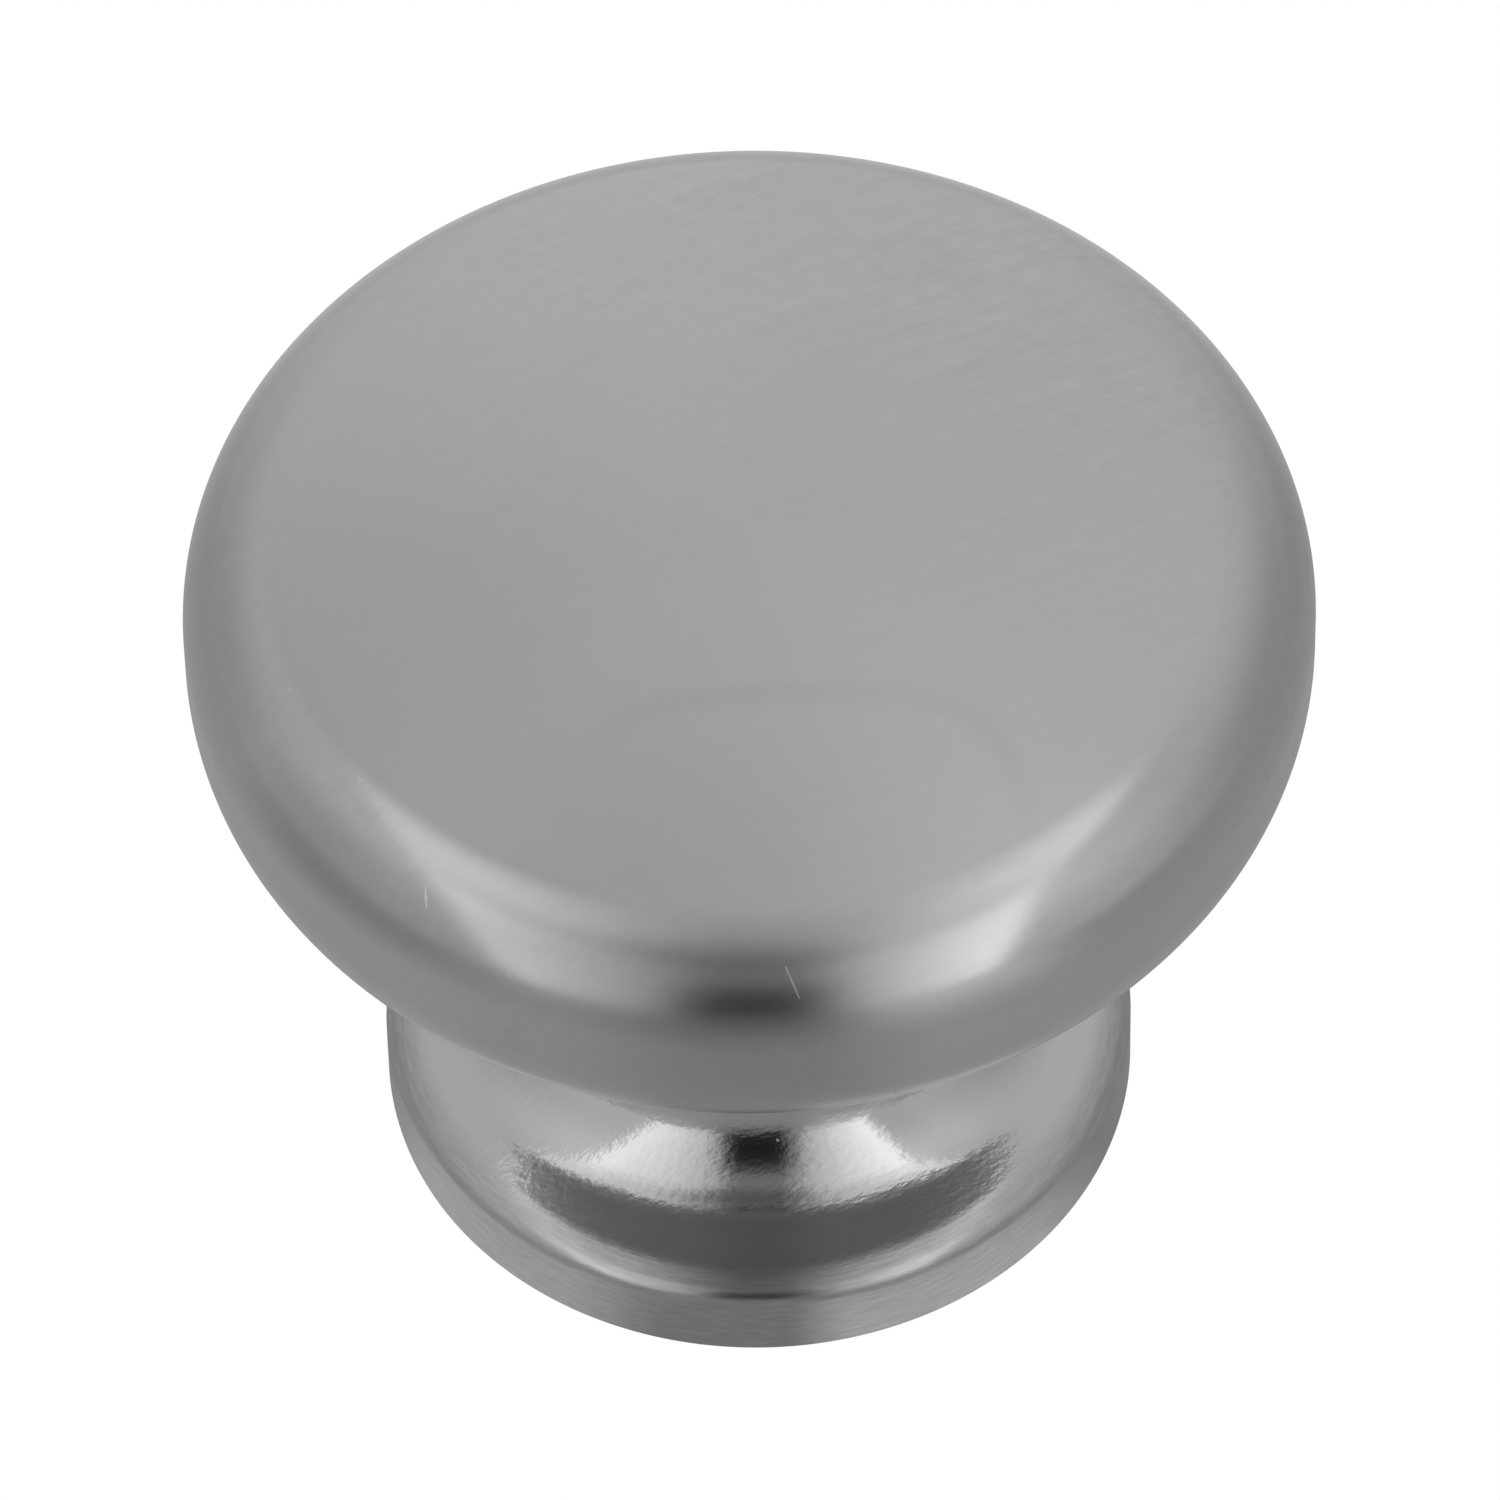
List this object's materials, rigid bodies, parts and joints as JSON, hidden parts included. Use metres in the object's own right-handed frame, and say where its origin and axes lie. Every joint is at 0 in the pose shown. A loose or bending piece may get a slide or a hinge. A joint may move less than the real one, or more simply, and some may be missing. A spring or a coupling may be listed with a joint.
{
  "type": "cabinet knob",
  "caption": "Mushroom cabinet knob: shallow domed round head with a soft rim, a waisted neck, flared foot with a blind tapped hole for a fixing screw.",
  "frame": {"origin": "centre of the seat, the flat ring of the foot that rests on the door", "axes": "+Z is the knob's axis, from the seat to the crown; the screw comes in along +Z and leaves along -Z"},
  "size_m": [0.032, 0.032, 0.0245],
  "materials": {
    "knob": "satin nickel plating on zinc, lightly brushed on the head"
  },
  "bodies": {
    "root": {"knob": "knob"}
  },
  "joints": []
}
